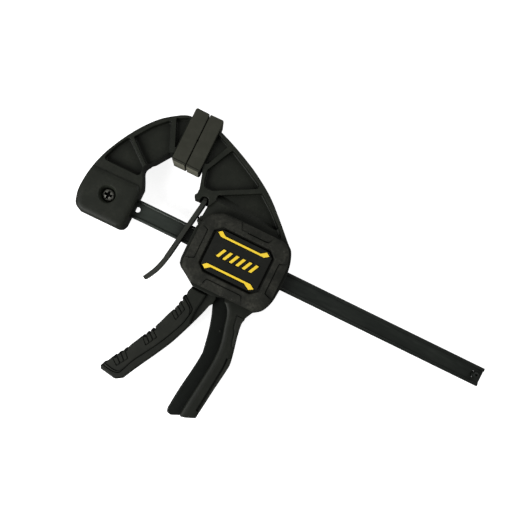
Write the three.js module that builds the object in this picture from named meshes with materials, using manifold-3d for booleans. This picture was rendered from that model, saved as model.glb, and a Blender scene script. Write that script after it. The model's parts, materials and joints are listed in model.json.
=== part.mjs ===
// One-hand trigger bar clamp. Millimetres, +Z up, lying on its side.
// Working axes: X runs along the bar from the plane where the two pads meet, Y runs up from the bar's
// centre line to the pads, Z is the clamp's thickness with 0 in its middle plane. The last step moves
// everything so that the row's origin is under the middle of the bounding box.
import * as THREE from "three";
import { mergeVertices } from "three/addons/utils/BufferGeometryUtils.js";
import Module from "manifold-3d";

const wasm = await Module();
wasm.setup();

// ---- driving dimensions ----
const GAP = 0.3; // running gap between touching pieces
const BAR_H = 14; // bar height
const BAR_T = 5; // bar thickness
const BAR_X0 = -52;
const BAR_X1 = 256;
const BAR_GROOVE = 10; // width of the shallow groove on each face
const BAR_GROOVE_D = 0.6;
const STOP_X = 250.2; // end stop pin
const STOP_R = 2;
const HALF = 10.5; // half thickness of the jaws and handle
const WEB = 5.5; // half thickness of the jaw webs
const NOSE_WEB = 3; // half thickness of the webs behind the pads
const HANDLE_WEB = 2.8; // half thickness of the handle's front web
const COVER_IN = HALF + GAP; // inner face of a cover
const COVER_OUT = 17; // outer face of a cover
const PAD_T = 10.5; // pad thickness along the bar
const PAD_Y0 = 41.8;
const PAD_Y1 = 81.8;
const PAD_HALF = 12.5; // half width of a pad
const SCREW_X = -40.4; // fixed jaw screw
const BAR_HOLE_X = -17.9; // spare hole in the bar
const PIVOT = [49, 15]; // trigger pivot
const PIN_R = 2.5; // trigger pin, with a running clearance in its bores
const PIN_BORE_R = 2.58;
const LEVER_PIVOT = [22.8, 27]; // release lever's seat
const LEVER_T = 2;
const LEVER_TILT = 8.7; // degrees, at rest
const COVER_SCREWS = [[34, 17.5], [90, 15.5], [33.5, -19], [90, -20.5]];
const ORIGIN = [97.7, -19.75, -COVER_OUT]; // the row's origin, in the working axes

// ---- helpers ----
const rad = THREE.MathUtils.degToRad;

// A closed outline: [x, y] is a straight run to that point, {curve: [...]} a smooth run through points,
// cut into chords of about `chord` millimetres.
function outline(parts) {
  const points = [];
  for (const part of parts) {
    if (Array.isArray(part)) {
      points.push(new THREE.Vector2(part[0], part[1]));
      continue;
    }
    const through = part.curve.map(([x, y]) => new THREE.Vector2(x, y));
    if (points.length > 0) through.unshift(points.pop());
    const curve = new THREE.SplineCurve(through);
    const count = Math.max(2, Math.round(curve.getLength() / (part.chord ?? 4)));
    points.push(...curve.getSpacedPoints(count));
  }
  return new THREE.Shape(points);
}

function solid(geometry) {
  geometry.deleteAttribute("normal");
  geometry.deleteAttribute("uv");
  const merged = mergeVertices(geometry, 1e-4);
  return new wasm.Manifold(new wasm.Mesh({
    numProp: 3,
    vertProperties: new Float32Array(merged.attributes.position.array),
    triVerts: new Uint32Array(merged.index.array),
  }));
}

// A plate between two heights; bevel eases its edges inwards.
function plate(shape, z0, z1, { bevel = 0, rise = bevel, steps = 1, curve = 6 } = {}) {
  const geometry = new THREE.ExtrudeGeometry(shape, {
    depth: z1 - z0 - 2 * rise,
    bevelEnabled: bevel > 0,
    bevelThickness: rise,
    bevelSize: bevel,
    bevelOffset: -bevel,
    bevelSegments: steps,
    curveSegments: curve,
  });
  geometry.translate(0, 0, z0 + rise);
  return solid(geometry);
}

function slab(shape, half, options) {
  return plate(shape, -half, half, options);
}

function box(x0, x1, y0, y1, z0, z1) {
  const geometry = new THREE.BoxGeometry(x1 - x0, y1 - y0, z1 - z0);
  geometry.translate((x0 + x1) / 2, (y0 + y1) / 2, (z0 + z1) / 2);
  return solid(geometry);
}

function discZ(x, y, r, z0, z1, segments = 24) {
  const geometry = new THREE.CylinderGeometry(r, r, z1 - z0, segments);
  geometry.rotateX(Math.PI / 2);
  geometry.translate(x, y, (z0 + z1) / 2);
  return solid(geometry);
}

function discX(y, z, r, x0, x1, segments = 20) {
  const geometry = new THREE.CylinderGeometry(r, r, x1 - x0, segments);
  geometry.rotateZ(Math.PI / 2);
  geometry.translate((x0 + x1) / 2, y, z);
  return solid(geometry);
}

// A turned piece about a Z axis, from [radius, z] points that start and end on the axis.
function turned(x, y, points, segments = 24) {
  const geometry = new THREE.LatheGeometry(points.map(([r, z]) => new THREE.Vector2(r, z)), segments);
  geometry.rotateX(Math.PI / 2);
  geometry.translate(x, y, 0);
  return solid(geometry);
}

// A cut made on both sides of the middle plane.
function bothSides(shape, from, to = 30) {
  return plate(shape, from, to).add(plate(shape, -to, -from));
}

class Helix extends THREE.Curve {
  constructor(radius, length, turns) {
    super();
    Object.assign(this, { radius, length, turns });
  }
  getPoint(t, target = new THREE.Vector3()) {
    const a = 2 * Math.PI * this.turns * t;
    return target.set(this.length * t, this.radius * Math.cos(a), this.radius * Math.sin(a));
  }
}

// A coil spring along X from x0 to x1.
function spring(x0, x1, y, z, radius, wire, turns, perTurn, sides) {
  const section = new THREE.Shape();
  section.absarc(0, 0, wire / 2, 0, 2 * Math.PI);
  const geometry = new THREE.ExtrudeGeometry(section, {
    steps: Math.round(turns * perTurn),
    curveSegments: sides,
    bevelEnabled: false,
    extrudePath: new Helix(radius, x1 - x0 - wire, turns),
  });
  geometry.translate(x0 + wire / 2, y, z);
  return solid(geometry);
}

const group = new THREE.Group();
group.name = "f_clamp";

function add(name, body, colour, roughness, metalness = 0) {
  const mesh = body.translate([-ORIGIN[0], -ORIGIN[1], -ORIGIN[2]]).getMesh();
  const geometry = new THREE.BufferGeometry();
  geometry.setAttribute("position", new THREE.BufferAttribute(new Float32Array(mesh.vertProperties), 3));
  geometry.setIndex(new THREE.BufferAttribute(new Uint32Array(mesh.triVerts), 1));
  geometry.computeVertexNormals();
  const material = new THREE.MeshStandardMaterial({ color: colour, roughness, metalness });
  material.name = name;
  const node = new THREE.Mesh(geometry, material);
  node.name = name;
  group.add(node);
}

const BLACK = 0x2b2d29;
const SOFT = 0x26272a;
const PAD = 0x4a4c45;
const STEEL = 0x33383d;
const BRIGHT = 0x9a9a94;
const YELLOW = 0xf2cc2e;

// ---- bar ----
const barSection = outline([
  [-BAR_H / 2, -BAR_T / 2 + 0.4], [-BAR_H / 2 + 0.4, -BAR_T / 2], [-BAR_GROOVE / 2 - 0.3, -BAR_T / 2],
  [-BAR_GROOVE / 2 + 0.3, -BAR_T / 2 + BAR_GROOVE_D], [BAR_GROOVE / 2 - 0.3, -BAR_T / 2 + BAR_GROOVE_D],
  [BAR_GROOVE / 2 + 0.3, -BAR_T / 2], [BAR_H / 2 - 0.4, -BAR_T / 2], [BAR_H / 2, -BAR_T / 2 + 0.4],
  [BAR_H / 2, BAR_T / 2 - 0.4], [BAR_H / 2 - 0.4, BAR_T / 2], [BAR_GROOVE / 2 + 0.3, BAR_T / 2],
  [BAR_GROOVE / 2 - 0.3, BAR_T / 2 - BAR_GROOVE_D], [-BAR_GROOVE / 2 + 0.3, BAR_T / 2 - BAR_GROOVE_D],
  [-BAR_GROOVE / 2 - 0.3, BAR_T / 2], [-BAR_H / 2 + 0.4, BAR_T / 2], [-BAR_H / 2, BAR_T / 2 - 0.4],
]);
const barGeometry = new THREE.ExtrudeGeometry(barSection, { depth: BAR_X1 - BAR_X0, bevelEnabled: false });
barGeometry.rotateX(Math.PI / 2);
barGeometry.rotateZ(Math.PI / 2);
barGeometry.translate(BAR_X0, 0, 0);
const bar = solid(barGeometry)
  .subtract(discZ(SCREW_X, 0, 2.8, -5, 5))
  .subtract(discZ(BAR_HOLE_X, 0, 2.4, -5, 5))
  .subtract(discZ(STOP_X, 0, STOP_R + GAP, -5, 5));
add("bar", bar, STEEL, 0.45, 0.8);
add("bar_end_stop", turned(STOP_X, 0, [
  [0, -6.5], [STOP_R - 0.4, -6.5], [STOP_R, -6.1], [STOP_R, 6.1], [STOP_R - 0.4, 6.5], [0, 6.5],
], 20), STEEL, 0.4, 0.9);

// ---- fixed jaw ----
const barSlot = (x0, x1) => box(x0, x1, -BAR_H / 2 - GAP, BAR_H / 2 + GAP, -BAR_T / 2 - GAP, BAR_T / 2 + GAP);
const fixedOutline = outline([
  [-PAD_T - GAP, 47.5],
  [-PAD_T - GAP, 75],
  { curve: [[-14, 74.5], [-19.8, 71.6], [-29.5, 64.5], [-37.3, 56], [-44.2, 46.2], [-50.5, 35],
    [-55.9, 22.8], [-59.4, 9.5], [-60.6, -3], [-59.7, -9.9], [-57.4, -15.6], [-52, -18.7]] },
  [-25, -18.5],
  { curve: [[-22.2, -17], [-20.8, -14]], chord: 2 },
  [-20.8, 15],
  { curve: [[-22.8, 19.7], [-26.1, 26.8], [-25.4, 30.9]] },
  [-21.3, 36],
  [-14.4, 46],
]);
const fixedPockets = [
  outline([[-53, 22.5], [-51.5, 21.3], [-27.5, 21.3], [-26.1, 23], [-26.1, 28.5], [-43.7, 42], [-49, 33]]),
  outline([[-39.5, 47.5], [-42, 44.6], [-25.3, 30.9], [-23.2, 33.1], [-14.4, 45.8], [-22.2, 65.3], [-24, 65.3],
    [-33, 57]]),
];
const fixedNosePocket = outline([[-20.2, 69.2], [-11.9, 73.6], [-11.9, 52], [-12.6, 50.5]]);
const blockPanel = outline([
  { curve: [[-58, 14.9], [-60, 4], [-59.9, -5], [-57, -15.4], [-51.7, -18]] },
  [-25, -18],
  { curve: [[-22.4, -16.4], [-21.2, -14]], chord: 2 },
  [-21.2, 11.5],
  { curve: [[-22.2, 14], [-24.5, 14.9]], chord: 2 },
]);
let fixedJaw = slab(fixedOutline, HALF, { bevel: 0.7 });
for (const pocket of fixedPockets) fixedJaw = fixedJaw.subtract(bothSides(pocket, WEB));
fixedJaw = fixedJaw
  .subtract(bothSides(fixedNosePocket, NOSE_WEB))
  .add(slab(blockPanel, 12, { bevel: 1.4 }))
  .subtract(barSlot(BAR_X0 - GAP, 0))
  .add(box(-PAD_T - 1.5, -5, 48, 74, -6, 6))
  .subtract(discZ(SCREW_X, 0, 2.8, -20, 20))
  .subtract(discZ(SCREW_X, 0, 6.5, 4.05, 20, 36))
  .subtract(discZ(SCREW_X, 0, 4.94, -20, -4.05, 6));
add("fixed_jaw", fixedJaw, BLACK, 0.6);

// ---- fixed jaw screw and nut ----
let screw = turned(SCREW_X, 0, [
  [0, -9.5], [2.1, -9.5], [2.5, -9.1], [2.5, 4.35], [4.45, 4.35], [4.45, 5.6], [4, 6.6], [2.6, 7.3], [0, 7.45],
], 28);
screw = screw
  .subtract(box(SCREW_X - 2.4, SCREW_X + 2.4, -0.45, 0.45, 5.9, 9))
  .subtract(box(SCREW_X - 0.45, SCREW_X + 0.45, -2.4, 2.4, 5.9, 9));
add("fixed_jaw_screw", screw, BRIGHT, 0.35, 0.9);
const nut = discZ(SCREW_X, 0, 4.62, -8.4, -4.4, 6).subtract(discZ(SCREW_X, 0, 2.8, -9, -4, 20));
add("fixed_jaw_nut", nut, BRIGHT, 0.4, 0.9);

// ---- pads ----
// A pad's block with its slot; side is -1 for the fixed jaw's pad and 1 for the moving jaw's.
function pad(side) {
  const near = side * GAP / 2;
  const far = side * PAD_T;
  const lip = side * 0.9;
  const face = outline([
    [near, PAD_Y0 + 1], [near + lip, PAD_Y0], [far - lip, PAD_Y0], [far, PAD_Y0 + 1],
    [far, PAD_Y1 - 1], [far - lip, PAD_Y1], [near + lip, PAD_Y1 - 0.3], [near, PAD_Y1 - 1.4],
  ]);
  const slot = [side * (5 - GAP), side * 20].sort((a, b) => a - b);
  return slab(face, PAD_HALF, { bevel: 0.5 })
    .subtract(box(slot[0], slot[1], 48 - GAP, 74 + GAP, -6 - GAP, 6 + GAP));
}
add("fixed_jaw_pad", pad(-1), PAD, 0.75);
add("moving_jaw_pad", pad(1), PAD, 0.75);

// ---- moving jaw: arm, mechanism housing and handle in one moulding ----
const armOutline = outline([
  [PAD_T + GAP, 47],
  [PAD_T + GAP, 74.8],
  { curve: [[19.3, 71.6], [29.1, 67.5], [38.8, 63], [48.6, 57.7], [62.3, 48.7], [75, 37.5], [88.7, 24.3],
    [92.6, 20.9], [95.6, 14.5], [97.4, 6.7], [97.9, 0], [97.7, -8], [96.5, -17.7], [93, -25.5], [88, -29.7]] },
  { curve: [[86.4, -32.5], [84.6, -35.9]] },
  [85, -36.9],
  { curve: [[83.9, -41.5], [85, -48.7], [87.3, -58.3]] },
  [87.2, -60.4],
  { curve: [[89.1, -68.3], [88.9, -74], [86.9, -88.4], [84.3, -110]] },
  [84.1, -113.7],
  [77.5, -116.6],
  [73.5, -117.6],
  { curve: [[74.7, -105.6], [76.9, -86.1], [78.1, -72], [77.4, -59.2], [74, -45.6], [73, -41.2],
    [70.6, -35.8], [67.2, -32.4], [63.3, -31.7]] },
  [41.5, -31.9],
  { curve: [[37.9, -29.4], [32, -25.5], [28.1, -23.1], [26.1, -20.7]] },
  [25.4, -16.7],
  [25.3, 7],
  [26.1, 9.6],
  [24.7, 10.4],
  [24.7, 15.2],
  [25.9, 16],
  [26.4, 24.5],
  { curve: [[25.8, 26.2], [24.9, 28.2], [22.8, 29], [20.7, 28.2], [19.8, 26.2]], chord: 1.8 },
  [19.6, 25.1],
  [15.5, 24.8],
  [14.6, 26.8],
  [15.8, 28.6],
  [15.8, 32],
  { curve: [[14.5, 36.6], [13, 41.7]] },
]);
const armPockets = [
  outline([[25.2, 66.3], [23.8, 64], [14.9, 46.1], [16.4, 38.5], [18.2, 34.5], [24.2, 34.5], [52.5, 49.7],
    [52.5, 52.6], [38, 60.4]]),
  outline([[30.1, 33.6], [57.4, 48.2], [69, 39.6], [77.6, 31.4], [77.2, 29.6], [30.1, 29.6]]),
];
const armNosePocket = outline([[11.5, 72], [21.3, 68.2], [13.6, 50.4], [11.5, 49.4]]);
const handleWeb = outline([
  [66, -24], [62.5, -26], [61.5, -33],
  { curve: [[60.5, -37.5], [63.7, -45.2], [66.7, -55.7], [69.5, -71.7]] },
  { curve: [[69, -77.7], [67.7, -88.7], [65.7, -102.7], [64.2, -118.2]] },
  { curve: [[65, -120.4], [68.2, -121.2]] },
  [75, -118], [82, -113], [82, -40], [74, -24],
]);
const mechanismWindow = outline([
  [37.5, 21], [37.5, -18], [44, -24], [74, -24], [84, -16], [84, 21],
]);
const triggerSlot = outline([
  [41.9, -34], [42.6, -20], [76, -20], [76, -31], [73.5, -41.5], [66, -34],
]);
let movingJaw = slab(armOutline, HALF, { bevel: 0.7 });
for (const pocket of armPockets) movingJaw = movingJaw.subtract(bothSides(pocket, WEB));
movingJaw = movingJaw
  .subtract(bothSides(armNosePocket, NOSE_WEB))
  .add(box(5, PAD_T + 1.5, 48, 74, -6, 6))
  .subtract(slab(mechanismWindow, 30))
  .subtract(slab(triggerSlot, 8))
  .add(slab(handleWeb, HANDLE_WEB, { bevel: 0.5 }))
  .subtract(barSlot(0, 120))
  .subtract(discX(12.8, 0, 2.9, 20, 31));
for (const [x, y] of COVER_SCREWS) movingJaw = movingJaw.subtract(discZ(x, y, 1.8, -20, 20, 16));

// soft inserts on the back of the handle: each is a wrap that sits in a rebate
const gripUpper = {
  outer: outline([[78.5, -36.4], [84.6, -36.4], [84.9, -37], { curve: [[83.9, -41.5], [85, -48.7], [87.1, -58]] },
    [84.6, -58.2], [83.4, -54.5], [82, -48.6], [80, -45], [79.2, -41]]),
  z: HALF + 0.2,
};
const gripLower = {
  outer: outline([[84.9, -66], [88.4, -65.2], { curve: [[89.1, -68.3], [88.9, -74], [86.9, -88.4], [84.5, -109.5]] },
    [81.5, -109.7], { curve: [[82.6, -99], [84.2, -84], [85, -74]] }]),
  z: HALF + 0.2,
};
// The rebate is the insert grown by the gap on its hidden sides; the core left inside it carries the insert.
function rebate(insert, shift, depth) {
  const cut = slab(insert.outer, 30);
  const grown = cut.add(cut.translate([-GAP, 0, 0]))
    .add(cut.translate([0, GAP, 0]))
    .add(cut.translate([0, -GAP, 0]))
    .add(cut.translate([1.5, 0, 0]));
  const core = slab(insert.outer, HALF - depth).translate([shift, 0, 0]);
  return { grown, core };
}
for (const insert of [gripUpper, gripLower]) {
  const { grown, core } = rebate(insert, -1.6 - GAP, 1.2 + GAP);
  const keep = movingJaw.intersect(core);
  movingJaw = movingJaw.subtract(grown).add(keep);
}
add("moving_jaw", movingJaw, BLACK, 0.6);
for (const [name, insert] of [["handle_grip_upper", gripUpper], ["handle_grip_lower", gripLower]]) {
  const body = slab(insert.outer, insert.z, { bevel: 0.3 });
  const hollow = slab(insert.outer, HALF - 1.2).translate([-1.6, 0, 0]);
  const wide = hollow.add(hollow.translate([-3, 0, 0])).add(hollow.translate([-1.5, 0, 0]));
  const tall = wide.add(wide.translate([0, 0.6, 0])).add(wide.translate([0, -0.6, 0]));
  add(name, body.subtract(tall), SOFT, 0.85);
}

// ---- covers ----
const coverOutline = outline([
  [42.8, 24.1], { curve: [[37, 22.7], [30.3, 18.3], [27.6, 12.5]] },
  [27.4, -17.5], { curve: [[28.4, -21.5], [31.4, -24.6]] },
  [38.9, -29.3], [87, -29.3],
  { curve: [[92.6, -25.6], [95.3, -19]] },
  [95.4, 9], { curve: [[92.8, 17], [89, 22.2], [84.5, 24.1]] },
]);
const recess = outline([
  [43.5, 14], [38, 9], [38, -14], [43.5, -19], [79.3, -19], [84.8, -14], [84.8, 9], [79.3, 14],
]);
const coverHollow = outline([
  [43, 20], [32, 13], [32, -15], [41, -25.5], [86, -25.5], [91.5, -16], [91.5, 8], [84, 20],
]);
const badgeOutline = outline([
  [43.6, 12.9], [39.9, 9.6], [39.9, -14.4], [43.6, -17.7], [79.2, -17.7], [82.9, -14.4], [82.9, 9.6], [79.2, 12.9],
]);
const stripeTop = outline([
  [40.7, 10.2], [43.6, 12.4], [47.2, 10], [72.9, 10], [77.4, 12.4], [81.3, 10.2], [77.2, 7.6], [43.4, 7.6],
]);
const stripeBottom = outline([
  [40.7, -15], [43.4, -12.2], [77.2, -12.2], [81.3, -15], [77.6, -17.2], [72.9, -14.6], [47.2, -14.6], [43.6, -17.2],
]);

function cover() {
  let body = plate(coverOutline, COVER_IN, COVER_OUT + 2, { bevel: 1.8 })
    .subtract(box(0, 120, -60, 60, COVER_OUT, 30))
    .subtract(plate(recess, 14.5, 30))
    .subtract(plate(coverHollow, 5, 12.4))
    .add(discZ(PIVOT[0], PIVOT[1], 4.6, COVER_IN, 13));
  for (const [x, y] of COVER_SCREWS) body = body.add(discZ(x, y, 3.2, COVER_IN, 13, 16));
  return body.subtract(discZ(PIVOT[0], PIVOT[1], PIN_BORE_R, 5, 12.8));
}
const mirror = (body) => body.mirror([0, 0, 1]);

let frontCover = cover();
let rearCover = mirror(cover());
for (const [x, y] of COVER_SCREWS) {
  frontCover = frontCover.subtract(discZ(x, y, 1.8, 5, 14.4, 16));
  rearCover = rearCover
    .subtract(discZ(x, y, 1.8, -30, -5, 16))
    .subtract(discZ(x, y, 3.1, -30, -14.3, 20));
}
add("front_cover", frontCover, BLACK, 0.8);
add("rear_cover", rearCover, BLACK, 0.8);

// A stripe's pocket is the stripe grown by a small gap.
function pocket(shape) {
  let body = plate(shape, 15.5, 20);
  for (const [dx, dy] of [[0.25, 0.25], [-0.25, 0.25], [0.25, -0.25], [-0.25, -0.25]]) {
    body = body.add(plate(shape, 15.5, 20).translate([dx, dy, 0]));
  }
  return body;
}
const badge = () => plate(badgeOutline, 14.8, 16.2, { bevel: 0.3 })
  .subtract(pocket(stripeTop))
  .subtract(pocket(stripeBottom));
for (const [side, flip] of [["front", (b) => b], ["rear", mirror]]) {
  add(`${side}_badge`, flip(badge()), BLACK, 0.5);
  add(`${side}_stripe_top`, flip(plate(stripeTop, 15.8, 16.4)), YELLOW, 0.5);
  add(`${side}_stripe_bottom`, flip(plate(stripeBottom, 15.8, 16.4)), YELLOW, 0.5);
}
COVER_SCREWS.forEach(([x, y], i) => {
  const body = turned(x, y, [
    [0, -16.2], [2, -16.2], [2.8, -15.6], [2.8, -14.6], [1.5, -14.6], [1.5, 13], [0.6, 14.1], [0, 14.1],
  ], 16).subtract(box(x - 1.5, x + 1.5, y - 0.35, y + 0.35, -17, -15.2))
    .subtract(box(x - 0.35, x + 0.35, y - 1.5, y + 1.5, -17, -15.2));
  add(`cover_screw_${i + 1}`, body, BRIGHT, 0.4, 0.9);
});

// ---- trigger ----
const triggerOutline = outline([
  { curve: [[43, 15], [45, 19.3], [49, 21 - 0.4], [53.2, 19.2], [55, 15]] },
  [55, 9.5],
  { curve: [[56.9, 1.3], [57.7, -1], [56.9, -3.2]] },
  [51.5, -13], [54, -22], [60.6, -32],
  [60.2, -36.8], [58.4, -39.2],
  { curve: [[56.4, -46], [51.5, -59.2], [46.2, -72.4], [39.8, -85.1], [32, -99.3], [26.1, -111]] },
  { curve: [[21.3, -113.9], [18.8, -113.7]] },
  [9.1, -112], [8.2, -109.8],
  { curve: [[9.8, -108.1], [13.2, -101.5], [18.8, -92.4], [25.5, -79], [30.8, -68.5], [34.6, -57.8],
    [37.4, -50.9], [38.9, -43]] },
  [38.8, -40.5], [40.5, -39.2], [40.3, -36.3], [42.2, -32],
  [43.4, -10],
]);
// the raised cheek ends at a step in front of the back edge
const triggerCheek = outline([
  [41.6, -32.8], [53.3, -34.6],
  { curve: [[52.5, -39.2], [51.5, -46], [51.5, -53.9], [52.5, -57.2]] },
  { curve: [[46.2, -72.4], [39.8, -85.1], [32, -99.3], [26.1, -111]] },
  { curve: [[21.3, -113.9], [18.8, -113.7]] },
  [9.1, -112], [8.2, -109.8],
  { curve: [[9.8, -108.1], [13.2, -101.5], [18.8, -92.4], [25.5, -79], [30.8, -68.5], [34.6, -57.8],
    [37.4, -50.9], [38.9, -43]] },
  [38.8, -40.5], [40.5, -39.2], [40.3, -36.3],
]);
const channel = outline([
  [49.5, -9], [47.5, -24], [46, -40],
  { curve: [[44.5, -50], [41.3, -62], [35.5, -76], [28, -90], [21, -103]] },
  [34, -112], [80, -60], [80, 9], [30, 9], [30, -9],
]);
const softOutline = outline([
  [40.1, -40.2], [47.2, -47.5],
  { curve: [[47.9, -50.9], [46.7, -59.7], [43.7, -67.5], [38.8, -77.3], [32, -89], [27.1, -97.3],
    [23.7, -104.6], [21, -107.2], [17.4, -108.4]] },
  [10.6, -108.4], [9.8, -107.6],
  { curve: [[13.2, -101.5], [18.8, -92.4], [25.5, -79], [30.8, -68.5], [34.6, -57.8], [37.4, -50.9],
    [38.8, -43]] },
  [38.8, -40.8],
]);
const softCore = slab(softOutline, HALF - 1.3);
const soft = slab(softOutline, 30);
const softGrown = soft.add(soft.translate([GAP, 0, 0])).add(soft.translate([0, GAP, 0]))
  .add(soft.translate([0, -GAP, 0]));
let trigger = slab(triggerOutline, 7.7)
  .add(slab(triggerCheek, HALF, { bevel: 1.2, steps: 2 }));
const softKeep = trigger.intersect(softCore.translate([1.9, -0.4, 0]));
trigger = trigger
  .subtract(softGrown)
  .add(softKeep)
  .subtract(slab(channel, HANDLE_WEB + 0.6))
  .subtract(discZ(PIVOT[0], PIVOT[1], PIN_BORE_R, -20, 20));
add("trigger", trigger, BLACK, 0.65);

// soft grip with three groups of finger ridges
const RIDGES = [
  { at: [38.6, -51], angle: -20, length: 7.4 },
  { at: [28.8, -76.5], angle: -28, length: 5.6 },
  { at: [16, -100], angle: -32, length: 5.6 },
];
let grip = slab(softOutline, HALF + 0.2, { bevel: 0.9, steps: 2 });
const gripCore = softCore.translate([1.6, -0.4, 0]);
grip = grip.subtract(gripCore.add(gripCore.translate([3, 0, 0])).add(gripCore.translate([0.8, 1.2, 0]))
  .add(gripCore.translate([0.8, -1.2, 0])).add(gripCore.translate([2, 2, 0])).add(gripCore.translate([1.5, -2, 0])));
for (const { at, angle, length } of RIDGES) {
  for (let i = -1; i <= 1; i += 1) {
    const groove = box(-3.2, length - 3.2, -0.45, 0.45, HALF - 0.35, 20)
      .add(box(-3.2, length - 3.2, -0.45, 0.45, -20, 0.35 - HALF))
      .add(box(-6, -2.4, -0.45, 0.45, -20, 20))
      .translate([0, i * 3.1, 0])
      .rotate([0, 0, angle])
      .translate([at[0], at[1], 0]);
    grip = grip.subtract(groove);
  }
}
add("trigger_grip", grip, SOFT, 0.85);
add("trigger_pin", turned(PIVOT[0], PIVOT[1], [
  [0, -12.5], [PIN_R - 0.4, -12.5], [PIN_R, -12.1], [PIN_R, 12.1], [PIN_R - 0.4, 12.5], [0, 12.5],
]), STEEL, 0.35, 0.9);

// ---- drive plates and their spring ----
const plateAt = (x) => box(x, x + 3, -13, 13, -8, 8)
  .subtract(box(x - 1, x + 4, -BAR_H / 2 - GAP, BAR_H / 2 + GAP, -BAR_T / 2 - GAP, BAR_T / 2 + GAP));
add("drive_plate_1", plateAt(58), STEEL, 0.4, 0.9);
add("drive_plate_2", plateAt(61.3), STEEL, 0.4, 0.9);
add("drive_spring", spring(64.7, 83.6, 0, 0, 8.5, 1.2, 4.5, 16, 2), BRIGHT, 0.35, 0.9);

// ---- release lever and its spring ----
const leverOutline = outline([
  [LEVER_PIVOT[0] - 1, 26.6],
  { curve: [[15, -17.2], [13.6, -24.5], [11.4, -31.8], [8.2, -38.2], [6.6, -41.2]] },
  [8.4, -42],
  { curve: [[10.1, -39.2], [13.3, -32.6], [15.6, -25], [17, -17.4]] },
  [LEVER_PIVOT[0] + 1, 26.6],
]);
const leverSlot = box(-4, 4, -7.9, 7.8, -BAR_T / 2 - GAP, BAR_T / 2 + GAP)
  .rotate([0, 0, -LEVER_TILT])
  .translate([18.7, 0.1, 0]);
const tailTrim = box(0, 30, -50, -20, 5.5, 20).add(box(0, 30, -50, -20, -20, -5.5));
const lever = slab(leverOutline, 8, { bevel: 0.3 })
  .add(discZ(LEVER_PIVOT[0], LEVER_PIVOT[1], 1.2, -7.7, 7.7, 24))
  .subtract(leverSlot)
  .subtract(tailTrim);
add("release_lever", lever, STEEL, 0.5, 0.7);
add("release_spring", spring(22.3, 30.7, 12.8, 0, 2.1, 0.7, 4, 12, 2), BRIGHT, 0.35, 0.9);

export default group;
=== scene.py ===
import json
import math

import bmesh
import bpy
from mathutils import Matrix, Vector


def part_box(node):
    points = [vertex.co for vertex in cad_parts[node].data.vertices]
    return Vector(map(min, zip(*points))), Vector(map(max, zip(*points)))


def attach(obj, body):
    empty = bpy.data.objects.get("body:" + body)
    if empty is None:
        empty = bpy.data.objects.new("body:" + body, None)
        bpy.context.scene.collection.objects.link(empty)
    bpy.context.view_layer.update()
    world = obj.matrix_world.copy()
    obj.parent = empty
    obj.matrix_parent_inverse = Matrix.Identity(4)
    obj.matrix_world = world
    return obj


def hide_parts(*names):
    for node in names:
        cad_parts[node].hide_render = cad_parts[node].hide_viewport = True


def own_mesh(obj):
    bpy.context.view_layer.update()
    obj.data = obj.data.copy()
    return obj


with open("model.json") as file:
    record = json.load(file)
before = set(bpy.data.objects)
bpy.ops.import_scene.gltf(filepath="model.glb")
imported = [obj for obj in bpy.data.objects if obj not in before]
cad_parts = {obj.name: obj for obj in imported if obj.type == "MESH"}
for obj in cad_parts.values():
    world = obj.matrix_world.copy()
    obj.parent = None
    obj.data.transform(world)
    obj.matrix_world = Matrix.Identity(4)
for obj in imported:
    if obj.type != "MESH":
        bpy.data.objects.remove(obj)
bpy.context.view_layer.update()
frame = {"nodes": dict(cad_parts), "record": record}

MM = 0.001
PIVOT = (49.0, 15.0)  # trigger pin, working axes
pin_low, pin_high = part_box("trigger_pin")
# the working axes' origin in the row frame
HOME = (pin_low + pin_high) / 2 - Vector((PIVOT[0], PIVOT[1], 0)) * MM

HALF = 10.5  # half thickness of the jaws and the handle
WEB = 5.5  # half thickness of the webs between the ribs
NOSE_WEB = 6.8  # half thickness of the webs behind the pads
HANDLE_WEB = 2.8  # half thickness of the handle's front web
PROUD = 0.2  # how far the soft grips stand out of the plastic
LINE_DEPTH = 0.8  # of the lines sunk in the grips
COVER_IN = 10.8  # a cover's inner face
COVER_OUT = 17.0  # a cover's outer face
RECESS = 14.5  # floor of the covers' sunk panel
BAR_H = 14.0  # the bar's height and thickness
BAR_T = 5.0
GAP = 0.3  # between the bar and what it runs in
SCREW_X = -40.4  # the fixed jaw's screw
SCREW_HOLE = 2.8  # radii of holes
COVER_SCREW_HOLE = 1.8
PIN_HOLE = 2.58
BAR_HOLE_X = -17.9  # the open hole beside the fixed jaw
STOP_X = 250.2  # the end stop
LEVER_PIVOT = (22.8, 27.0)  # the lever's rounded top
LEVER_TILT = 8.7  # degrees from upright
COVER_SCREWS = [(34, 17.5), (90, 15.5), (33.5, -19), (90, -20.5)]
CHORD = 1.2  # length of the chords of a smooth run
CLEAR = 20  # beyond every surface, where a cutting tool ends
FAR = 30  # beyond that, where what is taken out of such a tool ends

BODY_OF = {node: body for body, nodes in frame["record"]["behaviour"]["bodies"].items() for node in nodes}
SLOT_OF = {part["node"]: part["material_slot"] for part in frame["record"]["subparts"]}


# ---- outlines, lists of (x, y)
def smooth_run(points):
    """A smooth run through the points, cut into chords, without its first point."""
    run = []
    last = len(points) - 1
    for i in range(last):
        p0, p1, p2, p3 = points[max(i - 1, 0)], points[i], points[i + 1], points[min(i + 2, last)]
        count = max(2, round(math.dist(p1, p2) / CHORD))
        for k in range(1, count + 1):
            t = k / count
            run.append(tuple(
                0.5 * (2 * b + (c - a) * t + (2 * a - 5 * b + 4 * c - d) * t * t
                       + (3 * b - a - 3 * c + d) * t ** 3)
                for a, b, c, d in zip(p0, p1, p2, p3)
            ))
    return run


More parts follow.
